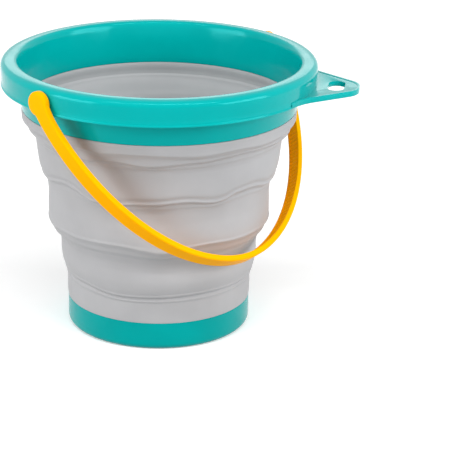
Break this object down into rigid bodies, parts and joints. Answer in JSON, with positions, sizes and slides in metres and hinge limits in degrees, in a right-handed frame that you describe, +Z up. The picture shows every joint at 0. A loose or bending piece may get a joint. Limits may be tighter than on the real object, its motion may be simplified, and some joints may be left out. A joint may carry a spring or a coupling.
{
  "type": "collapsible bucket",
  "caption": "Round bucket with a stepped soft wall that folds flat, a rigid rim with a slotted hanging tab, a rigid base cup and a strap handle.",
  "frame": {"origin": "centre of the floor inside the bucket, on its top face", "axes": "+Z up along the bucket's axis, X along the handle's two pegs, -Y towards the side where the handle rests"},
  "size_m": [0.189, 0.1879, 0.158],
  "materials": {
    "base_cup": "glossy",
    "rim_ring": "glossy",
    "wall_base_band": "satin",
    "wall_lower_fold": "satin",
    "wall_middle_tier": "satin",
    "wall_upper_fold": "satin",
    "wall_top_band": "satin",
    "handle_strap": "satin"
  },
  "bodies": {
    "base": {"base_cup": "base_cup", "wall_base_band": "wall_base_band", "wall_lower_fold": "wall_lower_fold"},
    "middle": {"wall_middle_tier": "wall_middle_tier", "wall_upper_fold": "wall_upper_fold"},
    "rim": {"rim_ring": "rim_ring", "wall_top_band": "wall_top_band"},
    "handle": {"handle_strap": "handle_strap"}
  },
  "joints": [
    {"name": "lower_fold", "type": "slide", "parent": "base", "child": "middle", "axis": [0, 0, -1], "range_m": [0, 0.058], "deforming": ["wall_lower_fold"]},
    {"name": "upper_fold", "type": "slide", "parent": "middle", "child": "rim", "axis": [0, 0, -1], "range_m": [0, 0.059], "deforming": ["wall_upper_fold"]},
    {"name": "handle_swing", "type": "hinge", "parent": "rim", "child": "handle", "pos_m": [0, 0, 0.1254], "axis": [-1, 0, 0], "range_deg": [-4, 247]}
  ]
}
